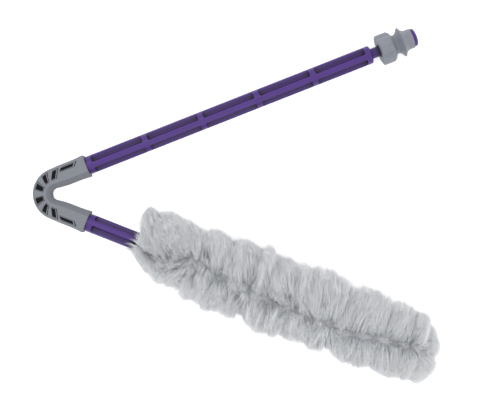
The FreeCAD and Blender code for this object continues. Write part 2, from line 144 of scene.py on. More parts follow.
class Graph:
    """A material whose nodes are added one call at a time."""

    def __init__(self, name, **sockets):
        self.material = bpy.data.materials.new(name)
        self.material.use_nodes = True
        self.tree = self.material.node_tree
        self.shader = self.tree.nodes["Principled BSDF"]
        for socket, value in sockets.items():
            self.shader.inputs[socket.replace("_", " ")].default_value = value

    def add(self, kind, inputs, **settings):
        node = self.tree.nodes.new("ShaderNode" + kind)
        for setting, value in settings.items():
            setattr(node, setting, value)
        for socket, value in inputs.items():
            if isinstance(value, bpy.types.NodeSocket):
                self.tree.links.new(value, node.inputs[socket])
            else:
                node.inputs[socket].default_value = value
        return node

    def noise(self, vector, scale, detail=3.0, roughness=0.55):
        sockets = {"Vector": vector, "Scale": scale, "Detail": detail, "Roughness": roughness}
        return self.add("TexNoise", sockets).outputs["Fac"]

    def scaled(self, value, low, high, to_low=0.0, to_high=1.0):
        sockets = {"Value": value, "From Min": low, "From Max": high, "To Min": to_low, "To Max": to_high}
        return self.add("MapRange", sockets).outputs["Result"]

    def mix(self, factor, first, second, blend="MIX"):
        node = self.add("Mix", {"Factor": factor}, data_type="RGBA", blend_type=blend)
        for socket, value in ((node.inputs[6], first), (node.inputs[7], second)):
            if isinstance(value, bpy.types.NodeSocket):
                self.tree.links.new(value, socket)
            else:
                socket.default_value = (*value, 1.0)
        return node.outputs[2]

    def total(self, *terms):
        """Sum of (value, weight) terms."""
        summed = None
        for value, weight in terms:
            sockets = {0: value, 1: weight, 2: 0.0 if summed is None else summed}
            summed = self.add("Math", sockets, operation="MULTIPLY_ADD").outputs[0]
        return summed

    def bump(self, height, distance_mm, strength=1.0):
        sockets = {"Height": height, "Distance": distance_mm * MM, "Strength": strength}
        self.link(self.add("Bump", sockets).outputs["Normal"], "Normal")

    def link(self, value, socket):
        self.tree.links.new(value, self.shader.inputs[socket])

    def along(self, way, stretch=1.0):
        """Coordinates in mm with x along a direction; stretch draws the pattern out along it."""
        place = self.add("TexCoord", {}).outputs["Object"]
        side = unit(np.cross((0.0, 0.0, 1.0), way))
        up = np.cross(way, side)
        parts = []
        for axis, scale in ((way, 1 / stretch), (side, 1.0), (up, 1.0)):
            weights = [float(part) * scale / MM for part in axis]
            sockets = {0: place, 1: weights}
            parts.append(self.add("VectorMath", sockets, operation="DOT_PRODUCT").outputs["Value"])
        return self.add("CombineXYZ", {"X": parts[0], "Y": parts[1], "Z": parts[2]}).outputs[0]

    def crevice_shade_mask(self, reach_mm):
        """1 deep in corners and pockets, 0 in the open; materials darken there as painted shade, partly
        standing for dust.
        """
        opened = self.add("AmbientOcclusion", {"Distance": reach_mm * MM}, samples=8).outputs["AO"]
        return self.scaled(opened, 0.9, 0.5)

    def edges(self, reach_mm):
        """1 on corners that hands and storage rub, 0 on flat faces."""
        rounded = self.add("Bevel", {"Radius": reach_mm * MM}, samples=4).outputs["Normal"]
        flat = self.add("NewGeometry", {}).outputs["Normal"]
        match = self.add("VectorMath", {0: rounded, 1: flat}, operation="DOT_PRODUCT").outputs["Value"]
        return self.scaled(match, 0.995, 0.9)


def moulded_plastic(name, colour, worn, way, roughness, grain=0.5, painted_shade_and_grime=0.35):
    """Satin moulding: fine spark-eroded grain, flow streaks along the part, mottling and rubbed edges;
    corners and pockets are darkened as painted shade, with a little grime.
    """
    graph = Graph(name, Specular_IOR_Level=0.38)
    even = graph.along(way)
    drawn = graph.along(way, 24.0)
    fine = graph.noise(even, 2.6, 2.0)
    streaks = graph.noise(drawn, 0.9, 3.0)
    cloud = graph.noise(even, 0.035, 3.0)
    deep = tuple(0.86 * part for part in colour)
    mottled = graph.mix(graph.scaled(cloud, 0.3, 0.7), deep, colour)
    streaked = graph.mix(graph.scaled(streaks, 0.35, 0.75, 0.0, 0.35), mottled, worn)
    patches = graph.scaled(graph.noise(even, 0.5), 0.4, 0.7)
    rubbed = graph.total((graph.edges(RUBBED_EDGE), 0.6), (patches, 0.12))
    handled = graph.mix(graph.scaled(rubbed, 0.18, 0.8, 0.0, 0.6), streaked, worn)
    # painted shade: corners and pockets darken towards this colour, standing mostly for shade and partly for
    # grime
    shade_and_grime_colour = tuple((1 - painted_shade_and_grime) * part for part in colour)
    graph.link(graph.mix(graph.crevice_shade_mask(CREVICE_REACH), handled, shade_and_grime_colour), "Base Color")
    shine = graph.total((fine, 0.12), (streaks, 0.1), (cloud, 0.06))
    graph.link(graph.scaled(shine, 0.0, 0.28, roughness - 0.09, roughness + 0.11), "Roughness")
    graph.bump(graph.total((fine, grain), (streaks, 0.35)), 0.035)
    return graph.material


def moulded_rubber(name, colour, way, roughness=0.66, band=None, gloss=0.35):
    """Matt rubber with a fine speckle, bloom and an uneven skin; a band named by an attribute is darker, as
    painted shade.
    """
    graph = Graph(name, Specular_IOR_Level=gloss)
    place = graph.along(way)
    fine = graph.noise(place, 3.4, 2.0, 0.7)
    skin = graph.noise(place, 0.45, 3.0)
    bloom = graph.noise(place, 0.06, 4.0)
    dark = tuple(0.8 * part for part in colour)
    pale = tuple(min(1.0, 1.16 * part) for part in colour)
    base = graph.mix(graph.scaled(fine, 0.3, 0.72), dark, pale)
    skinned = graph.mix(graph.scaled(bloom, 0.35, 0.75, 0.0, 0.55), base, colour)
    if band:
        inner_side_shade = graph.add("Attribute", {}, attribute_name=band).outputs["Fac"]
        skinned = graph.mix(graph.scaled(inner_side_shade, 0.0, 1.0, 0.0, 0.14), skinned, (0.0, 0.0, 0.0))
    graph.link(skinned, "Base Color")
    uneven = graph.total((fine, 0.5), (skin, 0.5))
    graph.link(graph.scaled(uneven, 0.3, 0.7, roughness, roughness + 0.2), "Roughness")
    graph.bump(graph.total((fine, 0.5), (skin, 0.6)), 0.05)
    return graph.material


def turned_steel(name, way):
    """Zinc-plated steel with fine turning lines and dull patches."""
    graph = Graph(name, Metallic=1.0)
    lines = graph.noise(graph.along(way, 0.05), 0.6, 2.0)
    dull = graph.noise(graph.along(way), 0.8, 3.0)
    graph.link(graph.mix(graph.scaled(dull, 0.35, 0.7), (0.62, 0.63, 0.65), (0.46, 0.47, 0.49)), "Base Color")
    graph.link(graph.scaled(graph.total((lines, 0.5), (dull, 0.5)), 0.3, 0.7, 0.24, 0.46), "Roughness")
    graph.bump(lines, 0.01)
    return graph.material


def knitted(name, colour, course_mm, wale_mm, sheen):
    """Knitted cloth: rows of loops from two crossed waves on the piece's own UV map, which is in mm."""
    graph = Graph(name, Sheen_Weight=sheen, Specular_IOR_Level=0.2)
    place = graph.add("UVMap", {}, uv_map="cloth").outputs["UV"]
    split = graph.add("SeparateXYZ", {"Vector": place})
    waves = []
    for axis, pitch in (("X", course_mm), ("Y", wale_mm)):
        turns = graph.add("Math", {0: split.outputs[axis], 1: 2 * math.pi / pitch}, operation="MULTIPLY")
        waves.append(graph.add("Math", {0: turns.outputs[0]}, operation="SINE").outputs[0])
    loops = graph.add("Math", {0: waves[0], 1: waves[1]}, operation="MULTIPLY").outputs[0]
    fuzz = graph.noise(place, 2.2, 3.0, 0.7)
    relief = graph.total((loops, 0.5), (waves[1], 0.25), (fuzz, 0.5))
    dark = tuple(0.55 * part for part in colour)
    graph.link(graph.mix(graph.scaled(relief, -0.5, 0.8), dark, colour), "Base Color")
    graph.link(graph.scaled(fuzz, 0.3, 0.7, 0.78, 0.95), "Roughness")
    graph.bump(relief, 0.12)
    return graph.material


def fibre(name, roots, tips, tints):
    """Fibre colour from the strand's own UV map: u is the strand's tint, v runs from root to tip, darker
    towards the root as painted shade deep in the pile.
    """
    graph = Graph(name, Roughness=0.65, Specular_IOR_Level=0.2, Sheen_Weight=0.2, Sheen_Roughness=0.5)
    place = graph.add("UVMap", {}, uv_map="OFBake").outputs["UV"]
    split = graph.add("SeparateXYZ", {"Vector": place})
    length = graph.mix(graph.scaled(split.outputs["Y"], 0.15, 1.0), roots, tips)
    tint = graph.mix(split.outputs["X"], tints[0], tints[1])
    graph.link(graph.mix(1.0, length, tint, "MULTIPLY"), "Base Color")
    return graph.material


def undercoat_fibre(name, colour):
    """Dense felted fibres between the strands, drawn out from the arm, coloured darker than the strands as
    painted shade deep in the pile.
    """
    graph = Graph(name, Roughness=0.9, Specular_IOR_Level=0.1, Sheen_Weight=0.3)
    place = graph.along(BRUSH_WAY)
    tuft = graph.noise(place, 0.5, 4.0, 0.7)
    dark = tuple(0.6 * part for part in colour)
    graph.link(graph.mix(graph.scaled(tuft, 0.3, 0.7), dark, colour), "Base Color")
    graph.bump(tuft, 0.9)
    return graph.material


def pale_floor():
    """Plain white paper over a weak light, so that shadows on it are faint."""
    white = (1.0, 1.0, 1.0, 1.0)
    graph = Graph("pale_floor", Specular_IOR_Level=0.2, Emission_Color=white, Emission_Strength=0.3)
    place = graph.add("TexCoord", {}).outputs["Object"]
    paper = graph.noise(place, 900.0, 3.0)
    graph.link(graph.mix(graph.scaled(paper, 0.3, 0.7), (0.9, 0.9, 0.9), (0.93, 0.93, 0.93)), "Base Color")
    graph.link(graph.scaled(paper, 0.3, 0.7, 0.6, 0.75), "Roughness")
    graph.bump(paper, 0.02)
    return graph.material


PURPLE = (0.047, 0.0115, 0.154)
WORN_PURPLE = (0.07, 0.03, 0.21)
# the bars' pockets go nearly black in their corners: painted shade, with a little grime
POCKET_PAINTED_SHADE_AND_GRIME = 0.97
GREY_PLASTIC = (0.176, 0.19, 0.222)
WORN_GREY = (0.26, 0.27, 0.3)
GREY_RUBBER = (0.172, 0.183, 0.206)
BLACK = (0.018, 0.018, 0.02)
WASHER_BLACK = (0.03, 0.03, 0.032)
INK = (0.006, 0.006, 0.007)
NYLON = (0.62, 0.61, 0.57)
WORN_NYLON = (0.7, 0.69, 0.66)
ELASTIC = (0.33, 0.34, 0.36)
KNIT = (0.42, 0.43, 0.46)
# darker than the fibres: painted shade deep in the pile
FELT = (0.5, 0.51, 0.54)

# the sleeve's inner side is made darker: painted shade
sleeve_rubber = moulded_rubber("sleeve_rubber", GREY_RUBBER, AHEAD, band="inner_painted_shade")
handle_plastic = moulded_plastic(
    "handle_bar_plastic", PURPLE, WORN_PURPLE, HANDLE_WAY, 0.4, painted_shade_and_grime=POCKET_PAINTED_SHADE_AND_GRIME
)
by_slot = {
    "coupling_plastic": moulded_plastic(
        "coupling_plastic", GREY_PLASTIC, WORN_GREY, HANDLE_WAY, 0.52, grain=0.9
    ),
    "nylon": moulded_plastic("white_nylon", NYLON, WORN_NYLON, AHEAD, 0.45),
    "steel": turned_steel("plated_steel", HANDLE_WAY),
    "black_rubber": moulded_rubber("black_rubber", BLACK, HANDLE_WAY, roughness=0.6),
    "washer_rubber": moulded_rubber("washer_rubber", WASHER_BLACK, AHEAD, roughness=0.6),
    "bar_plastic": moulded_plastic(
        "brush_bar_plastic", PURPLE, WORN_PURPLE, BRUSH_WAY, 0.4, painted_shade_and_grime=POCKET_PAINTED_SHADE_AND_GRIME
    ),
}


def dress_cad_nodes():
    """Gives every CAD node that stays its material, by its slot in the record."""
    for name, node in frame["nodes"].items():
        slot = node.data.materials[0].name
        if slot not in by_slot:
            continue
        material = handle_plastic if name in ("handle_bar", "end_cap") else by_slot[slot]
        node.material_slots[0].material = material


# ---- mesh helpers ----


def new_object(name, mesh, material):
    made = bpy.data.objects.new(name, mesh)
    bpy.context.scene.collection.objects.link(made)
    mesh.materials.append(material)
    return made


def smooth_mesh(name, points, faces, sharp_over=0.9):
    """Mesh of row-frame points; faces meeting at more than sharp_over radians keep a crisp edge."""
    mesh = bpy.data.meshes.new(name)
    mesh.from_pydata(points.reshape(-1, 3).tolist(), [], faces)
    mesh.shade_smooth()
    mesh.set_sharp_from_angle(angle=sharp_over)
    return mesh


def lay_uv(mesh, name, per_point):
    """UV map with one value per point."""
    layer = mesh.uv_layers.new(name=name)
    corners = np.empty(len(mesh.loops), dtype=np.int64)
    mesh.loops.foreach_get("vertex_index", corners)
    layer.data.foreach_set("uv", np.asarray(per_point, dtype=np.float32)[corners].ravel())


def grid_faces(rings, around, first=0, flip=False):
    """Quads between rings of points that close on themselves."""
    faces = []
    for ring in range(rings - 1):
        for step in range(around):
            after = (step + 1) % around
            low = first + ring * around
            high = low + around
            quad = (low + step, low + after, high + after, high + step)
            faces.append(quad[::-1] if flip else quad)
    return faces


def tube_between(name, outer, inner):
    """Closed skin from an outer and an inner set of rings, joined at both ends."""
    rings, around = outer.shape[:2]
    shift = rings * around
    faces = grid_faces(rings, around) + grid_faces(rings, around, shift, flip=True)
    for ring, flip in ((0, True), (rings - 1, False)):
        for step in range(around):
            after = (step + 1) % around
            low = ring * around
            quad = (low + step, low + after, shift + low + after, shift + low + step)
            faces.append(quad[::-1] if flip else quad)
    return smooth_mesh(name, np.concatenate([outer, inner]), faces)


def eased(value):
    """Rises smoothly from 0 to 1 as the value does."""
    value = np.clip(value, 0, 1)
    return value * value * (3 - 2 * value)


# ---- elbow sleeve ----


def rounded_section(corners, arc_points=7, longest=1.4):
    """Outline through (y, z, radius) corners, each rounded, with its long sides divided."""
    outline = []
    count = len(corners)
    for number in range(count):
        before, here, after = (np.array(corners[(number + step) % count]) for step in (-1, 0, 1))
        into = unit(before[:2] - here[:2])
        out = unit(after[:2] - here[:2])
        half = math.acos(float(np.clip(into @ out, -1, 1))) / 2
        radius = here[2]
        centre = here[:2] + unit(into + out) * radius / math.sin(half)
        start = here[:2] + into * radius / math.tan(half) - centre
        end = here[:2] + out * radius / math.tan(half) - centre
        for share in np.linspace(0, 1, arc_points):
            outline.append(centre + radius * unit((1 - share) * start + share * end))
    divided = []
    for number, point in enumerate(outline):
        after = outline[(number + 1) % len(outline)]
        steps = max(1, math.ceil(np.linalg.norm(after - point) / longest))
        divided += [point + (after - point) * step / steps for step in range(steps)]
    return np.array(divided)


def sleeve_section():
    """Outline of the sleeve's section, (outwards, up), with a chamfered inner side."""
    across, down = SLEEVE_CHAMFER
    side = SLEEVE_HALF_THICKNESS - down
    width = SLEEVE_HALF_WIDTH
    high = SLEEVE_HALF_THICKNESS
    corners = [
        (-width, -side, 1.6),
        (across - width, -high, 1.1),
        (width, -high, 3.4),
        (width, high, 3.4),
        (across - width, high, 1.1),
        (-width, side, 1.6),
    ]
    return rounded_section(corners)


def half_width(place):
    """Half width of the sleeve in the plane of the V: flared at its ends, narrowest at the bend."""
    from_end = np.minimum(place, SLEEVE_LENGTH - place)
    flare = FLARE * np.exp(-((from_end / FLARE_REACH) ** 2))
    return SLEEVE_HALF_WIDTH + flare - APEX_NARROWING * apex_share(place)


def apex_share(place):
    """0 on the legs and 1 at the bend."""
    return eased((np.minimum(place, SLEEVE_LENGTH - place) - APEX_START) / APEX_EASE)


def round_the_bend(points):
    """Carries points (along, outwards, up) of the straight sleeve round the elbow, into the row frame."""
    along, outwards, up = (points[..., axis] for axis in range(3))
    arc = np.clip(along - LEG, 0, ARC)
    beyond = along - LEG - arc
    angle = ARC_START + arc / BEND_RADIUS
    radius = BEND_RADIUS + outwards
    ahead = radius * np.cos(angle) - beyond * np.sin(angle)
    across = radius * np.sin(angle) + beyond * np.cos(angle)
    return in_row(np.stack([ahead, across, up], axis=-1))


def sleeve_rings(places, section):
    """Outer and inner rings of the straight sleeve at places along it."""
    from_end = np.minimum(places, SLEEVE_LENGTH - places)
    lip = np.clip((SLEEVE_LIP - from_end) / SLEEVE_LIP, 0, 1)
    inset = SLEEVE_LIP * (1 - np.sqrt(1 - lip * lip))
    wide = (half_width(places) - inset) / SLEEVE_HALF_WIDTH
    thick = (SLEEVE_HALF_THICKNESS - inset) / SLEEVE_HALF_THICKNESS
    crown = CROWN * (1 - (section[:, 0] / SLEEVE_HALF_WIDTH) ** 2) * np.sign(section[:, 1])
    crown *= np.abs(section[:, 1]) > SLEEVE_HALF_THICKNESS - 0.3
    outer = np.empty((len(places), len(section), 3))
    outer[..., 0] = places[:, None]
    shift = APEX_SHIFT * apex_share(places)[:, None]
    outer[..., 1] = wide[:, None] * section[None, :, 0] + shift
    outer[..., 2] = thick[:, None] * section[None, :, 1] + crown
    inner = outer.copy()
    turn = np.arctan2(section[:, 1], section[:, 0])
    inner[..., 1] = np.maximum(SLEEVE_BORE * np.cos(turn), outer[..., 1].min(axis=1, keepdims=True) + WALL)
    inner[..., 2] = SLEEVE_BORE * np.sin(turn)
    return outer, inner


def bend_with_hinge(piece):
    """Rolls a straight piece, which holds one hinge's share of the sleeve, round the elbow."""
    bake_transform(piece)
    points = np.array([point.co for point in piece.data.vertices])
    piece.data.vertices.foreach_set("co", round_the_bend(points).astype(np.float32).ravel())
    piece.data.update()


def hinge_span(number):
    """Stretch of the sleeve in one hinge's piece; the outer two take in the legs."""
    start = 0.0 if number == 1 else LEG + ARC * (number - 1) / HINGES
    end = SLEEVE_LENGTH if number == HINGES else LEG + ARC * number / HINGES
    return start, end


def elbow_sleeve():
    """Rubber skin of the elbow in one piece for each hinge."""
    section = sleeve_section()
    for number in range(1, HINGES + 1):
        start, end = hinge_span(number)
        lips = SLEEVE_LIP * (1 - np.cos(np.linspace(0, math.pi / 2, LIP_RINGS)))
        places = np.linspace(start, end, math.ceil((end - start) / RING_STEP) + 1)
        if number == 1:
            places = np.concatenate([lips, places[places > SLEEVE_LIP + 0.3]])
        if number == HINGES:
            places = np.concatenate([places[places < end - SLEEVE_LIP - 0.3], end - lips[::-1]])
        outer, inner = sleeve_rings(places, section)
        mesh = tube_between(f"elbow_sleeve_{number}", outer, inner)
        # the inner chamfer is marked to be painted darker: painted shade on that side
        inner_side = section[:, 0] < SLEEVE_CHAMFER[0] - SLEEVE_HALF_WIDTH + 0.3
        band = np.tile(inner_side.astype(np.float32), 2 * len(places))
        mesh.attributes.new("inner_painted_shade", "FLOAT", "POINT").data.foreach_set("value", band)
        piece = new_object(mesh.name, mesh, sleeve_rubber)
        bend_with_hinge(piece)
        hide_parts("elbow_sleeve")


def slanted_bar(start, end, low, high, slant, lift):
    """Points and faces of a thin printed bar on the straight sleeve's front face."""
    steps = max(2, math.ceil((end - start) / PRINT_STEP))
    rows = PRINT_ROWS
    top = SLEEVE_HALF_THICKNESS + lift
    points = []
    for level in (top, top - PRINT_THICKNESS):
        for row in range(rows + 1):
            height = low + (high - low) * row / rows
            crown = CROWN * (1 - ((height - FACE_MIDDLE) / SLEEVE_HALF_WIDTH) ** 2)
            for step in range(steps + 1):
                along = start + (end - start) * step / steps + slant * (height - low)
                points.append((along, height, level + crown))
    wide = steps + 1
    per_level = wide * (rows + 1)
    faces = []
    for row in range(rows):
        for step in range(steps):
            corner = row * wide + step
            quad = (corner, corner + 1, corner + wide + 1, corner + wide)
            faces.append(quad)
            faces.append(tuple(per_level + index for index in quad[::-1]))
    rim = list(range(wide))
    rim += [row * wide + steps for row in range(1, rows + 1)]
    rim += [rows * wide + step for step in range(steps - 1, -1, -1)]
    rim += [row * wide for row in range(rows - 1, 0, -1)]
    for here, after in zip(rim, rim[1:] + rim[:1]):
        faces.append((here, per_level + here, per_level + after, after))
    return points, faces


# Plain slanted bars printed on the sleeve: hinge, start, end, low, high, slant.
PRINTED_BARS = [
    (1, 11.0, 27.0, 3.2, 7.6, -0.9),
    (1, 31.6, 37.8, -1.6, 7.6, -0.55),
    (1, 40.0, 45.0, -1.6, 7.6, -0.3),
    (2, 47.6, 53.4, -1.4, 7.6, -0.12),
    (3, 56.9, 62.7, -1.4, 7.6, 0.12),
    (4, 65.3, 70.3, -1.6, 7.6, 0.3),
    (4, 72.5, 78.7, -1.6, 7.6, 0.55),
    (4, 83.3, 99.3, 3.2, 7.6, 0.9),
]
# Each bar is an outline, a gap and a core: inset and height of each.
PRINT_LAYERS = [("outline", 0.0, 0.06), ("gap", 0.35, 0.1), ("core", 0.8, 0.14)]


def sleeve_print():
    """Printed bars in one piece for each layer and hinge, bent with the sleeve."""
    ink = moulded_rubber("printed_ink", INK, AHEAD, roughness=0.6, gloss=0.08)
    gap = moulded_rubber("printed_gap", GREY_RUBBER, AHEAD, roughness=0.6)
    for number in range(1, HINGES + 1):
        bars = [bar[1:] for bar in PRINTED_BARS if bar[0] == number]
        for name, inset, lift in PRINT_LAYERS:
            points, faces = [], []
            for start, end, low, high, slant in bars:
                edge = inset * math.hypot(1, slant) - slant * inset
                back = inset * math.hypot(1, slant) + slant * inset
                corners, quads = slanted_bar(start + edge, end - back, low + inset, high - inset, slant, lift)
                faces += [tuple(index + len(points) for index in quad) for quad in quads]
                points += corners
            mesh = smooth_mesh(f"sleeve_bars_{name}_{number}", np.array(points), faces)
            piece = new_object(mesh.name, mesh, gap if name == "gap" else ink)
            bend_with_hinge(piece)


# ---- slip-on cover: cuff, backing and tip ----


def turned_cloth(name, profile, relief, around, closed_end=False):
    """Cloth turned round the brush arm through (along, radius) points; relief(along, angle) stands proud."""
    angles = np.linspace(0, 2 * math.pi, around, endpoint=False)
    along = np.array([point[0] for point in profile])
    radius = np.array([point[1] for point in profile])
    lifted = radius[:, None] + relief(along[:, None], angles[None, :])
    rings = on_brush_arm(np.broadcast_to(along[:, None], lifted.shape), lifted, angles[None, :])
    faces = grid_faces(len(profile), around, flip=True)
    if not closed_end:
        last = (len(profile) - 1) * around
        for step in range(around):
            after = (step + 1) % around
            faces.append((step, after, last + after, last + step))
    else:
        faces.append(tuple(range(around)))
        faces.append(tuple(range(len(profile) * around - 1, (len(profile) - 1) * around - 1, -1)))
    mesh = smooth_mesh(name, rings, faces)
    flat = np.stack(np.broadcast_arrays(angles[None, :] * BACKING_RADIUS, along[:, None]), axis=-1)
    lay_uv(mesh, "cloth", flat.reshape(-1, 2))
    return mesh


HEM = 0.7
HEM_PROUD = 0.05
RIBS = 24
RIB_DEPTH = 0.22
COURSE_DEPTH = 0.06
COURSE_STEP = 3.1
WALES = 40
FOLDS = 18
FOLD_DEPTH = 0.35


def cover_cloth():
    """Gathered elastic mouth, knitted tube and gathered closed end, all carried by the cover."""
    elastic = knitted("ribbed_elastic", ELASTIC, 0.9, 1.1, 0.3)
    knit = knitted("knitted_backing", KNIT, 1.3, 1.5, 0.4)

    middle = CUFF_RADIUS - HEM + HEM_PROUD
    profile = [(CUFF_START + HEM, COVER_BORE)]
    profile += [
        (CUFF_START + HEM - HEM * math.sin(turn), middle - HEM * math.cos(turn))
        for turn in np.linspace(0.3, math.pi - 0.3, 7)
    ]
    profile += [(place, CUFF_RADIUS - 0.25) for place in np.linspace(CUFF_START + 1.4, CUFF_END - 0.6, 8)]
    profile += [(CUFF_END, CUFF_RADIUS - 0.5), (CUFF_END, COVER_BORE + 0.02)]

    def gathers(along, angle):
        deep = RIB_DEPTH * np.abs(np.sin(RIBS * angle + 0.6 * np.sin(3 * angle)))
        return deep * (along > CUFF_START + 1.2) * (along < CUFF_END - 0.2)

    cuff = new_object("cuff_elastic", turned_cloth("cuff_elastic", profile, gathers, 288), elastic)
    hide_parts("cover_cuff")

    def courses(along, angle):
        return COURSE_DEPTH * np.sin(2 * math.pi * along / COURSE_STEP) * np.sin(WALES * angle)

    places = np.linspace(CUFF_END + 0.05, BACKING_END, 420)
    profile = [(place, BACKING_RADIUS - 0.08) for place in places]
    profile += [(place, COVER_BORE + 0.08) for place in places[::-6]]
    tube = new_object("backing_knit", turned_cloth("backing_knit", profile, courses, 120), knit)
    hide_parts("cover_backing")

    def folds(along, angle):
        return FOLD_DEPTH * np.sin(FOLDS * angle) * (along > BACKING_END + 0.5)

    profile = [(BACKING_END, 0.8), (BACKING_END, 9.6), (BACKING_END + 0.5, BACKING_RADIUS - 0.1)]
    for turn in np.linspace(0.15, math.pi / 2 - 0.2, 7):
        profile.append((BACKING_END + 0.6 + 1.35 * math.sin(turn), (BACKING_RADIUS - 0.4) * math.cos(turn)))
    tip = new_object("tip_gather", turned_cloth("tip_gather", profile, folds, 144, closed_end=True), knit)
    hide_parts("cover_tip")
    return [cuff, tube, tip]


# ---- pile ----

# Lobes of the pile along its two sides: start, end and reach from the arm's axis.
INNER_LOBES = [
    (70, 97, 36.5),
    (97, 140, 38.5),
    (140, 150, 35.5),
    (150, 176, 39.5),
    (176, 209, 40.5),
    (209, 218, 44.0),
    (218, 248, 39.5),
    (248, 262, 41.5),
    (262, 302, 43.5),
    (302, 311, 36.5),
    (311, 347, 41.5),
    (347, 373, 40.5),
    (373, 420, 40.5),
]
OUTER_LOBES = [
    (70, 108, 31.0),
    (108, 127, 32.0),
    (127, 145, 30.5),
    (145, 163, 36.0),
    (163, 187, 38.0),
    (187, 209, 37.5),
    (209, 220, 30.0),
    (220, 253, 40.0),
    (253, 284, 36.0),
    (284, 302, 37.5),
    (302, 312, 29.5),
    (312, 348, 36.0),
    (348, 384, 33.5),
    (384, 420, 31.0),
]
# Where the parting of the fibres wanders along the arm: place, and distance towards the inside of the V.
PARTING = [
    (84, -4),
    (112, -11),
    (130, -9),
    (148, 7),
    (186, -3),
    (232, -7),
    (305, -12),
    (345, 2),
    (382, 8),
    (412, 3),
]
PARTING_RADIUS = 28.0
# How far fibres swing away from the parting: place, degrees.
SWING = [(90, 14), (150, 20), (200, 26), (260, 24), (300, 34), (345, 42), (376, 42), (386, 8)]
# How far fibres lean towards the tip for each mm that they reach sideways: place, inner side, outer side.
LEAN = [
    (89, -0.55, -0.7),
    (130, -0.6, -0.36),
    (180, -0.45, 0),
    (250, -0.3, 0.15),
    (340, -0.1, 0.26),
    (375, 0.1, 0.4),
]
FIBRE_LENGTH = 27.0
TOP_REACH = 33.0
UNDER_REACH = 37.0
PARTING_DEPTH = 0.3
CROSSING_SHARE = 0.25  # of the locks beside the parting
CROSSING_REACH = 0.45
# How much the random values of puffs, locks and wisps change a fibre.
TURN_BY_GROUP = (5, 1.6, 1.6)  # degrees round the arm
LEAN_BY_GROUP = (0.12, 0.05, 0.04)
TINT_BY_GROUP = (0.06, 0.1, 0.2)
RAGGED_BY_GROUP = (0.03, 0.06, 0.035)  # of locks, tufts and wisps, as a share of the reach
TINT_WITH_PAINTED_SIDE_LIGHT = (0.42, 0.26)  # on the top and underside, and how much paler the sides are, as painted light standing for light through the fibres
GATHERED = (0.1, 0.3)  # share of the way that fibres close in on their lock's and their wisp's middle
UNEVEN_TURN = 0.045
UNEVEN_PLACE = 1.4
UNEVEN_REACH = 0.016
UNEVEN_TINT = 0.16
LOBE_ROUNDING = 0.07
LOBE_GATHERING = 0.05
STRAY_SHARE = 0.3  # of the fibres lie STRAY_SPREAD times as unevenly as the rest
STRAY_SPREAD = 2.6
CROSSING_END = 300.0  # up to here some locks fall across the parting
# Sizes of the groups that fibres gather in: along the arm, round it in degrees, and the seed.
PUFF = (23.0, 52.0, 31)
LOCK = (6.0, 13.0, 47)
TUFT = (3.4, 8.0, 53)
WISP = (1.7, 4.0, 59)
TIP_START = 374.0  # from here the fibres turn towards the tip
CLOSED_END = TIP_SEAM_END - 0.4
TIP_PAINTED_LIGHT = 0.5  # how much of the tint range paler the fibres at the tip are, as painted light
# Outline of the tip: share of the way over it, then place and reach on the inner and on the outer side.
TIP_OUTLINE = [
    (0.0, 380, 40, 378, 33.5),
    (0.2, 388, 39.5, 385, 32),
    (0.32, 388, 30, 391, 30.5),
    (0.5, 399, 26.5, 401, 29.5),
    (0.68, 405.5, 21, 406.5, 25.5),
    (0.85, 409, 13, 410, 18),
    (1.0, 411, 2, 411.5, 3),
]


def table(rows, place, column):
    """One column of a table, read between its rows at each place."""
    values = np.array(rows, float)
    return np.interp(place, values[:, 0], values[:, column])


WAVES = 7
WAVES_SUM = 2.7  # about how far that many waves add up


def wander(along, angle, pitch, seed):
    """Smooth noise over the pile's surface, between about -1 and 1."""
    waves = np.random.default_rng(seed)
    out = np.zeros(np.broadcast(along, angle).shape)
    for _ in range(WAVES):
        turns = waves.integers(-5, 6)
        rate = waves.uniform(0.5, 1.5) * 2 * math.pi / pitch
        out = out + np.sin(rate * along + turns * angle + waves.uniform(0, 2 * math.pi))
    return out / WAVES_SUM


def lobe_field(lobes, along):
    """The lobe's reach, how far off its middle each place is, from -1 to 1, and half its length."""
    starts, ends, reaches = np.array(lobes, float).T
    number = np.clip(np.searchsorted(starts, along, side="right") - 1, 0, len(lobes) - 1)
    middle = (starts[number] + ends[number]) / 2
    half = (ends[number] - starts[number]) / 2
    return reaches[number], np.clip((along - middle) / half, -1, 1), half


LONGEST_PLACE = 440.0


def groups(along, turn, kind):
    """Cells scattered over the surface: random values, offsets from the centre, and depth inside each."""
    pitch, spread, seed = kind
    columns = round(360 / spread)
    rows = math.ceil(LONGEST_PLACE / pitch) + 2
    draw = np.random.default_rng(seed)
    jitter = draw.uniform(-0.4, 0.4, (rows, columns, 2))
    values = draw.uniform(-1, 1, (rows, columns, 4))
    row = along / pitch
    column = turn / (2 * math.pi) % 1 * columns
    nearest = np.full(len(along), np.inf)
    second = nearest.copy()
    chosen = np.zeros((len(along), 2), int)
    offset = np.zeros((len(along), 2))
    for row_step in (-1, 0, 1):
        this_row = np.clip(np.floor(row).astype(int) + row_step, 0, rows - 1)
        stagger = 0.5 * (this_row % 2)
        for column_step in (-1, 0, 1):
            whole = np.floor(column - stagger).astype(int) + column_step
            this_column = whole % columns
            off_row = row - this_row - 0.5 - jitter[this_row, this_column, 0]
            off_column = column - whole - 0.5 - stagger - jitter[this_row, this_column, 1]
            distance = np.hypot(off_row, off_column)
            closer = distance < nearest
            second = np.where(closer, nearest, np.minimum(second, distance))
            nearest = np.where(closer, distance, nearest)
            chosen[closer] = np.stack([this_row, this_column], axis=-1)[closer]
            offset[closer] = np.stack([off_row, off_column], axis=-1)[closer]
    inside = (second - nearest) / (second + nearest)
    across = offset[:, 1] * math.radians(360 / columns)
    return values[chosen[:, 0], chosen[:, 1]], offset[:, 0] * pitch, across, inside


def parting_angle(along):
    """Angle round the arm of the parting, which is above the arm's axis."""
    return np.arccos(np.clip(table(PARTING, along, 1) / PARTING_RADIUS, -1, 1))


def mixed(weights, cells, column):
    """Weighted sum of one of the groups' random values."""
    return sum(weight * cell[:, column] for weight, cell in zip(weights, cells))


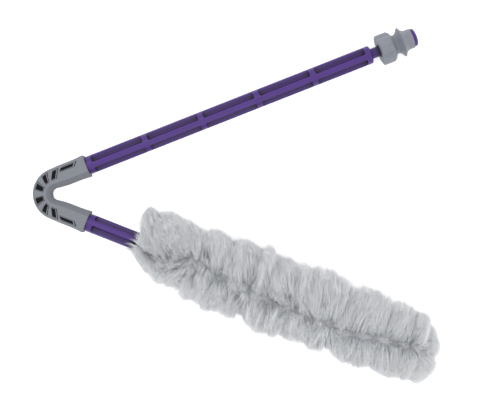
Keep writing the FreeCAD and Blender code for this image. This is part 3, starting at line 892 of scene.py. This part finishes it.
def strand_tips(along, turn, draw):
    """Place, turn from the parting, reach and tint of each strand's tip, from its root's place and turn."""
    puff, _, _, inside = groups(along, turn, PUFF)
    lock, lock_along, lock_turn, _ = groups(along, turn, LOCK)
    wisp, wisp_along, wisp_turn, _ = groups(along, turn, WISP)
    cells = (puff, lock, wisp)
    count = len(along)
    by_lock, by_wisp = GATHERED
    place = along - by_lock * lock_along - by_wisp * wisp_along
    turned = turn - by_lock * lock_turn - by_wisp * wisp_turn
    away = np.abs(turned)
    crossing = (lock[:, 3] > 1 - 2 * CROSSING_SHARE) & (place < CROSSING_END) & (away < CROSSING_REACH)
    side = np.where(turned >= 0, 1.0, -1.0) * np.where(crossing, -1.0, 1.0)
    fall = np.radians(table(SWING, place, 1)) * eased(away / 0.14) * np.clip(1 - away / math.pi, 0, 1) ** 0.8
    stray = np.where(draw.uniform(0, 1, count) < STRAY_SHARE, STRAY_SPREAD, 1.0)
    tip_turn = turned + side * fall + np.radians(mixed(TURN_BY_GROUP, cells, 1))
    tip_turn += np.radians(6) * wander(place, turned, 22, 13) + stray * draw.normal(0, UNEVEN_TURN, count)

    lean = np.where(side > 0, table(LEAN, place, 1), table(LEAN, place, 2)) * np.abs(np.sin(tip_turn))
    lean += mixed(LEAN_BY_GROUP, cells, 0) + 0.16 * wander(place, turned, 26, 17)
    tip_along = place + FIBRE_LENGTH * lean + stray * draw.normal(0, UNEVEN_PLACE, count)

    angle = parting_angle(tip_along) - tip_turn
    sideways = eased(np.abs(np.cos(angle)) * 1.25 - 0.15)
    ruffled = tip_along + 5 * wander(tip_along, tip_turn, 60, 5) * (1 - sideways)
    inner = lobe_field(INNER_LOBES, ruffled)
    outer = lobe_field(OUTER_LOBES, ruffled)
    reach, off_middle, half = (np.where(np.cos(angle) > 0, one, two) for one, two in zip(inner, outer))
    reach = reach * (1 - LOBE_ROUNDING * np.abs(off_middle) ** 3)
    elsewhere = np.where(np.sin(angle) > 0, TOP_REACH, UNDER_REACH)
    elsewhere = elsewhere * (1 + 0.05 * puff[:, 2] - 0.12 * (1 - inside) ** 3)
    reach = elsewhere + (reach - elsewhere) * sideways
    parted = table(SWING, place, 1) / 42
    reach *= 1 - PARTING_DEPTH * parted * np.exp(-((np.abs(tip_turn) / 0.3) ** 2))
    tuft, _, _, _ = groups(along, turn, TUFT)
    ragged = mixed(RAGGED_BY_GROUP, (lock, tuft, wisp), 2)
    reach *= 1 + (0.3 + 0.7 * sideways) * ragged + draw.normal(0, UNEVEN_REACH, count)
    tip_along += (0.5 + 0.7 * sideways) * tuft[:, 0]
    tip_along -= LOBE_GATHERING * off_middle * half * sideways
    # sideways fibres get a paler tint: painted light, standing for light that passes through real fibres
    tint = TINT_WITH_PAINTED_SIDE_LIGHT[0] + TINT_WITH_PAINTED_SIDE_LIGHT[1] * sideways + mixed(TINT_BY_GROUP, cells, 3)
    tint += draw.normal(0, UNEVEN_TINT, count)
    return tip_along, tip_turn, reach, np.clip(tint, 0.04, 0.96)


LIE_BACK = 18.0  # how far fibres lie back over the bar at the cuff, and over what length that fades
LIE_BACK_FADE = 9.0
MOUTH_END = 106.0
MOUTH_EASE = 14.0
FIRST_TIP = 79.0  # where the outermost fibres end, and how much further in they end on the full side
FIRST_TIP_FULL = 8.5
NOT_LIMITED = 125.0


def shape_mouth(along, tip_along, tip_turn, reach, draw):
    """Fibres at the cover's mouth: full on the inner side, and lying back along the bar everywhere else."""
    angle = parting_angle(tip_along) - tip_turn
    full = eased(np.cos(angle) * 1.5 - 0.1)
    back = LIE_BACK * np.exp(-(along - CUFF_END) / LIE_BACK_FADE) * draw.uniform(0, 1, len(along)) ** 1.8
    lying = along + 1 - back * (1 + 0.4 * wander(along, 3 * angle, 30, 91))
    near = 1 - eased((along - MOUTH_END) / MOUTH_EASE)
    tip_along = tip_along + (lying - tip_along) * near * (1 - full)
    limit = FIRST_TIP + FIRST_TIP_FULL * full
    tip_along = np.where(tip_along < limit, limit - 0.3 * (limit - tip_along), tip_along)
    steep = 22 + 4 * np.clip(tip_along - 83, 0, 20)
    gentle = 11 + 0.62 * np.clip(tip_along - 84, 0, 90)
    limited = gentle + (steep - gentle) * full + 60 * (tip_along > NOT_LIMITED)
    return tip_along, np.minimum(reach, limited)


def shape_tip(path, tip_along, tip_turn, reach):
    """Turns the fibres over the closed end from pointing outwards to pointing along the arm."""
    whole = CLOSED_END - TIP_START + BACKING_RADIUS
    share = np.clip((path - TIP_START) / whole, 0, 1)
    inner = (1 + np.cos(parting_angle(tip_along) - tip_turn)) / 2
    ease = eased(share * 5)
    for value, first in ((tip_along, 1), (reach, 2)):
        wanted = table(TIP_OUTLINE, share, first) * inner
        wanted += table(TIP_OUTLINE, share, first + 2) * (1 - inner)
        ruffle = value - wanted
        value += (wanted - value + 0.12 * np.clip(ruffle, -12, 12)) * ease
    lumps = 1 + 0.05 * wander(1.5 * tip_along, tip_turn, 30, 29) * ease
    return TIP_START + (tip_along - TIP_START) * np.where(ease > 0, lumps, 1), reach * lumps


TIP_EXTRA = 0.05  # share of the fibres that are added at the tip and at the mouth
MOUTH_EXTRA = 0.03
TIP_CAP = 9.0  # how far in over the closed end fibres grow
RADIUS_BEND, ANGLE_BEND, PLACE_BEND = 1.9, 1.5, 1.35  # how a fibre's curve eases from root to tip
WOBBLES = ((1.0, 0.6), (2.1, 0.25))  # waves along a fibre: turns and size


def strand_curves(count, seed, longer=0.0, points=5, shortest=0.0):
    """Centre lines of strands as row-frame points, with each strand's tint and how far along it starts."""
    draw = np.random.default_rng(seed)
    path = draw.uniform(CUFF_END, CLOSED_END + BACKING_RADIUS, count)
    for extra, start, end in (
        (TIP_EXTRA, TIP_START, CLOSED_END + TIP_CAP),
        (MOUTH_EXTRA, CUFF_END, CUFF_END + 20),
    ):
        path = np.where(draw.uniform(0, 1, count) < extra, draw.uniform(start, end, count), path)
    turn = draw.uniform(-math.pi, math.pi, count)
    along = np.minimum(path, CLOSED_END)
    tip_along, tip_turn, reach, tint = strand_tips(along, turn, draw)
    tip_along, reach = shape_mouth(along, tip_along, tip_turn, reach, draw)
    tip_along, reach = shape_tip(path, tip_along, tip_turn, reach)
    # fibres over the tip are made paler: painted light
    tint = np.clip(tint + TIP_PAINTED_LIGHT * eased((path - TIP_START) / 12), 0, 0.96)
    root_radius = BACKING_RADIUS - 0.3 - np.clip(path - CLOSED_END, 0, TIP_CAP)
    length = draw.uniform(shortest, 1.0, count) if shortest else np.ones(count)
    reach = root_radius + (reach - root_radius) * length + longer * draw.uniform(0.3, 1, count)

    share = np.linspace(0, 1, points)[None, :]
    root_angle = parting_angle(along) - turn
    tip_angle = parting_angle(tip_along) - tip_turn
    radius = root_radius[:, None] + (reach - root_radius)[:, None] * (1 - (1 - share) ** RADIUS_BEND)
    angle = root_angle[:, None] + (tip_angle - root_angle)[:, None] * share**ANGLE_BEND
    place = along[:, None] + (tip_along - along)[:, None] * share**PLACE_BEND
    for turns, size in WOBBLES:
        phase = draw.uniform(0, 2 * math.pi, (count, 1, 3))
        wobble = size * np.sin(2 * math.pi * turns * share[..., None] + phase) * share[..., None]
        radius = radius + wobble[..., 0]
        place = place + wobble[..., 1]
        angle = angle + wobble[..., 2] / 25
    curves = on_brush_arm(place, radius, angle)
    lowest = 0.3 + 0.8 * draw.uniform(0, 1, (count, 1))
    curves[..., 2] = np.maximum(curves[..., 2], MM * lowest)
    return curves, tint, along


def strand_mesh(name, curves, tint, thick):
    """Tapered three-sided strands, closed at root and tip, all in one mesh."""
    count, points = curves.shape[:2]
    way = np.gradient(curves, axis=1)
    way /= np.linalg.norm(way, axis=2, keepdims=True)
    first = np.cross(way, rng.normal(size=(count, 1, 3)))
    first /= np.linalg.norm(first, axis=2, keepdims=True)
    second = np.cross(way, first)
    share = np.linspace(0, 1, points)
    half = MM * thick * (0.8 + 0.4 * np.sin(math.pi * share**0.8)) * np.clip(1.5 * (1 - share), 0, 1) ** 0.8
    rings = []
    for corner in range(3):
        angle = 2 * math.pi * corner / 3
        offset = math.cos(angle) * first + math.sin(angle) * second
        rings.append(curves + offset * half[None, :, None])
    rings = np.stack(rings, axis=2)[:, :-1]
    places = np.concatenate([rings.reshape(count, -1, 3), curves[:, -1:]], axis=1)
    per_strand = places.shape[1]

    faces = [(2, 1, 0)]
    for ring in range(points - 2):
        for corner in range(3):
            after = (corner + 1) % 3
            low = 3 * ring
            faces.append((low + corner, low + after, low + 3 + after, low + 3 + corner))
    last = 3 * (points - 2)
    faces += [(last + corner, last + (corner + 1) % 3, per_strand - 1) for corner in range(3)]
    pattern = np.array([index for face in faces for index in face])
    corners = (pattern[None, :] + per_strand * np.arange(count)[:, None]).ravel()
    sizes = np.tile([len(face) for face in faces], count)
    starts = np.concatenate([[0], np.cumsum(sizes)[:-1]])

    mesh = bpy.data.meshes.new(name)
    mesh.vertices.add(count * per_strand)
    mesh.vertices.foreach_set("co", places.astype(np.float32).ravel())
    mesh.loops.add(len(corners))
    mesh.loops.foreach_set("vertex_index", corners.astype(np.int32))
    mesh.polygons.add(len(starts))
    mesh.polygons.foreach_set("loop_start", starts.astype(np.int32))
    mesh.update(calc_edges=True)
    mesh.shade_smooth()
    ring_of = np.append(np.repeat(np.arange(points - 1), 3), points - 1)
    spread = np.append(np.tile([-0.02, 0.0, 0.02], points - 1), 0.0)
    across = tint[:, None] + spread[None, :]
    length = np.broadcast_to(0.02 + 0.96 * ring_of / (points - 1), across.shape)
    lay_uv(mesh, "OFBake", np.stack([across, length], axis=-1).reshape(-1, 2))
    return mesh


FELT_DEPTH = 9.5
FELT_LUMPS = 0.09


def undercoat():
    """Felted core that closes the gaps between the strands; its darker colour is painted shade deep in the
    pile.
    """
    felt = undercoat_fibre("pile_undercoat", FELT)
    around = 160
    places = np.linspace(CUFF_END + 4, PILE_END - 14, 260)
    angles = np.linspace(0, 2 * math.pi, around, endpoint=False)
    swell = eased((places - CUFF_END - 2) / 40) * eased((PILE_END - 13.5 - places) / 16)
    lumps = 1 + FELT_LUMPS * wander(places[:, None], angles[None, :], 26, 77)
    radius = BACKING_RADIUS + 0.4 + FELT_DEPTH * swell[:, None] * lumps
    along = np.broadcast_to(places[:, None], radius.shape)
    rings = on_brush_arm(along, radius, angles[None, :])
    inner = on_brush_arm(along, np.full(radius.shape, BACKING_RADIUS + 0.1), angles[None, :])
    mesh = tube_between("pile_undercoat", rings[::-1], inner[::-1])
    return new_object("pile_undercoat", mesh, felt)


def pile():
    """Long fibres in lobes, locks and wisps, in lengths along the arm that each make one piece."""
    white = fibre("pile_fibre", FIBRE_ROOT, FIBRE_TIP, FIBRE_TINTS)
    pieces = [undercoat()]
    crops = [  # name, how many, seed, half thickness and shape
        ("pile_length", STRANDS, 3, 0.2, {}),
        ("pile_underfur", UNDERFUR, 8, 0.2, {"points": 4, "shortest": 0.6}),
        ("pile_strays", STRAYS, 4, 0.12, {"longer": 2.6}),
    ]
    for name, count, seed, thick, shape in crops:
        curves, tint, along = strand_curves(count, seed, **shape)
        order = np.argsort(along)
        for number, chosen in enumerate(np.array_split(order, math.ceil(count / STRANDS_PER_PIECE)), 1):
            mesh = strand_mesh(f"{name}_{number:02d}", curves[chosen], tint[chosen], thick)
            pieces.append(new_object(mesh.name, mesh, white))
    for piece in pieces:
        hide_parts("pile")
    return pieces


# ---- floor, light and camera ----

VIEW_DISTANCE = 980.0
VIEW_WIDTH = 500.0
VIEW_CENTRE = np.array([190.0, -6.1, 0.0])  # in the plane of the V


WORLD_STRENGTH = 1.25
FLOOR_HALF = 3.0  # metres


def floor():
    size = FLOOR_HALF
    points = np.array([(-size, -size, 0), (size, -size, 0), (size, size, 0), (-size, size, 0)], float)
    mesh = smooth_mesh("floor", points, [(0, 1, 2, 3)])
    new_object("floor", mesh, pale_floor())


def soft_box(name, place, target, size, power):
    """Round area light; metres and watts."""
    light = bpy.data.lights.new(name, "AREA")
    light.shape = "DISK"
    light.size = size
    light.energy = power
    lamp = bpy.data.objects.new(name, light)
    lamp.location = place
    lamp.rotation_euler = (Vector(target) - Vector(place)).to_track_quat("-Z", "Y").to_euler()
    bpy.context.scene.collection.objects.link(lamp)


def studio():
    """White surroundings, a large soft key and a small strip for gloss on the bars."""
    world = bpy.data.worlds.new("studio")
    world.use_nodes = True
    background = world.node_tree.nodes["Background"]
    background.inputs["Color"].default_value = (1.0, 1.0, 1.0, 1.0)
    background.inputs["Strength"].default_value = WORLD_STRENGTH
    bpy.context.scene.world = world
    bpy.context.scene.view_settings.view_transform = "Standard"
    soft_box("key", (-0.35, 0.55, 1.5), (0, 0, 0.03), 0.8, 3.5)
    soft_box("strip", (0.18, -0.42, 1.1), (0.05, 0.1, 0.03), 0.12, 0.8)


def camera():
    """Looks straight down on the plane of the V, with the bisector of the V level."""
    data = bpy.data.cameras.new("camera")
    data.lens = data.sensor_width * VIEW_DISTANCE / VIEW_WIDTH
    eye = bpy.data.objects.new("camera", data)
    axes = Matrix((AHEAD, ACROSS, NORMAL)).transposed()
    middle = in_row(VIEW_CENTRE)
    eye.matrix_world = Matrix.Translation(middle + MM * VIEW_DISTANCE * NORMAL) @ axes.to_4x4()
    bpy.context.scene.collection.objects.link(eye)
    bpy.context.scene.camera = eye


camera()
floor()
studio()
dress_cad_nodes()
elbow_sleeve()
sleeve_print()
for piece in cover_cloth() + pile():
    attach(piece, "cover")
